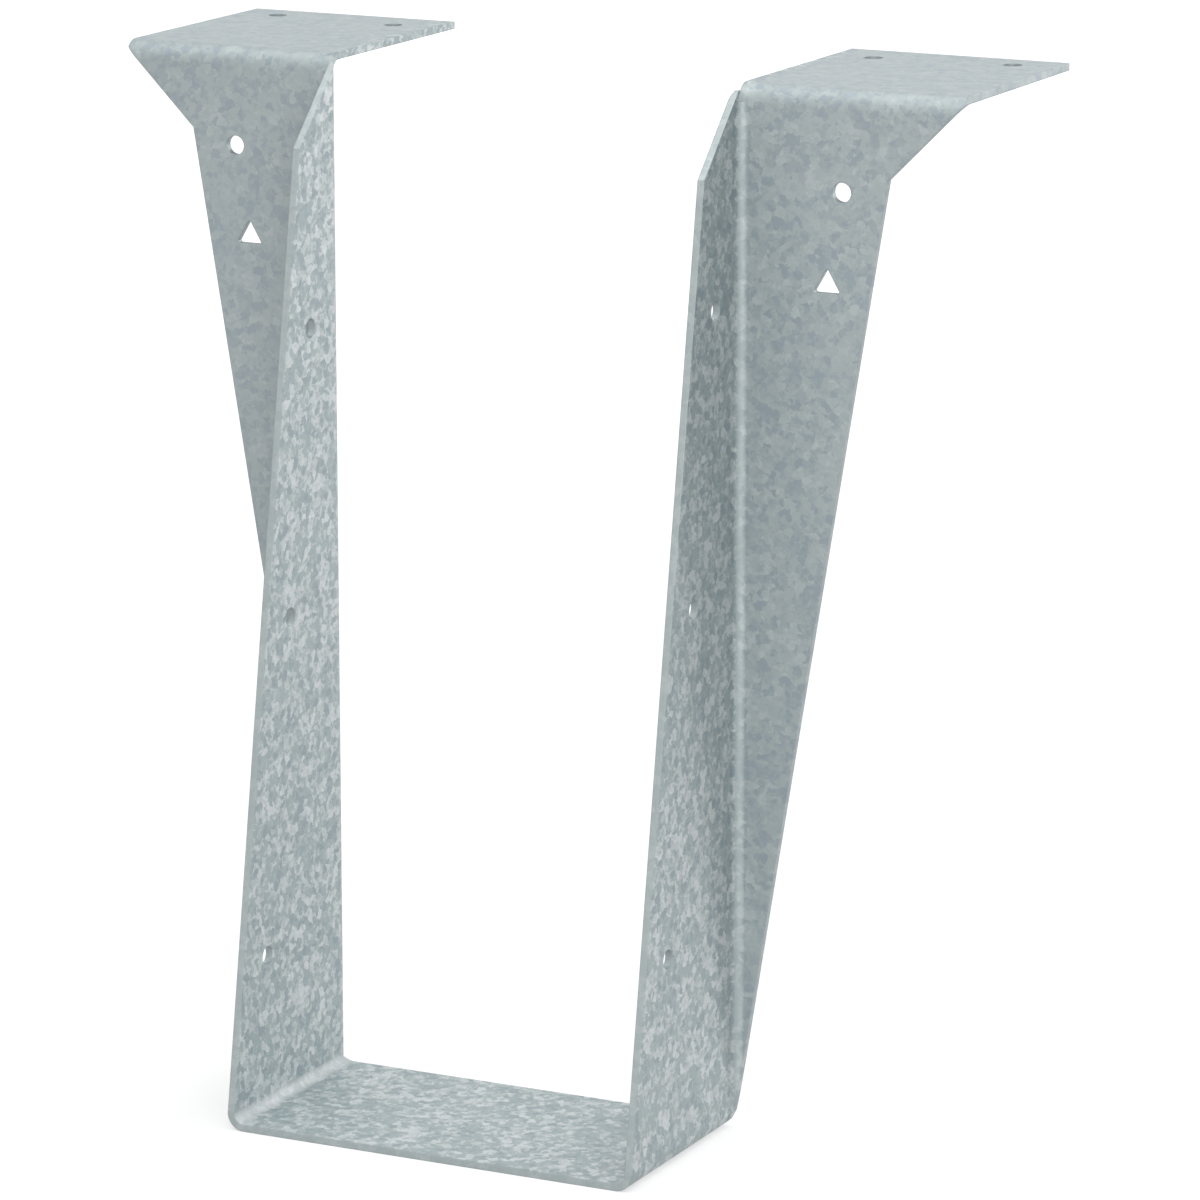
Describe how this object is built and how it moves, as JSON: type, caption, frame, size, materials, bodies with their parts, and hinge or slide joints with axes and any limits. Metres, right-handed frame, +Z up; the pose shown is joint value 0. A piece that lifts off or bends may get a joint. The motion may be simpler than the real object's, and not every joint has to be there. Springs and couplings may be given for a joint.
{
  "type": "joist hanger",
  "caption": "One-piece folded sheet hanger: a seat and slanted side plates hold a joist end, face flanges lie on the header and top flanges lap over it.",
  "frame": {"origin": "middle of the seat's bearing face, where the joist's bottom rests", "axes": "+X along the header, +Y towards the header, +Z up"},
  "size_m": [0.2246, 0.1227, 0.2576],
  "materials": {
    "galvanised_sheet": "hot-dip galvanised, spangled, satin"
  },
  "bodies": {
    "root": {"hanger": "galvanised_sheet"}
  },
  "joints": []
}
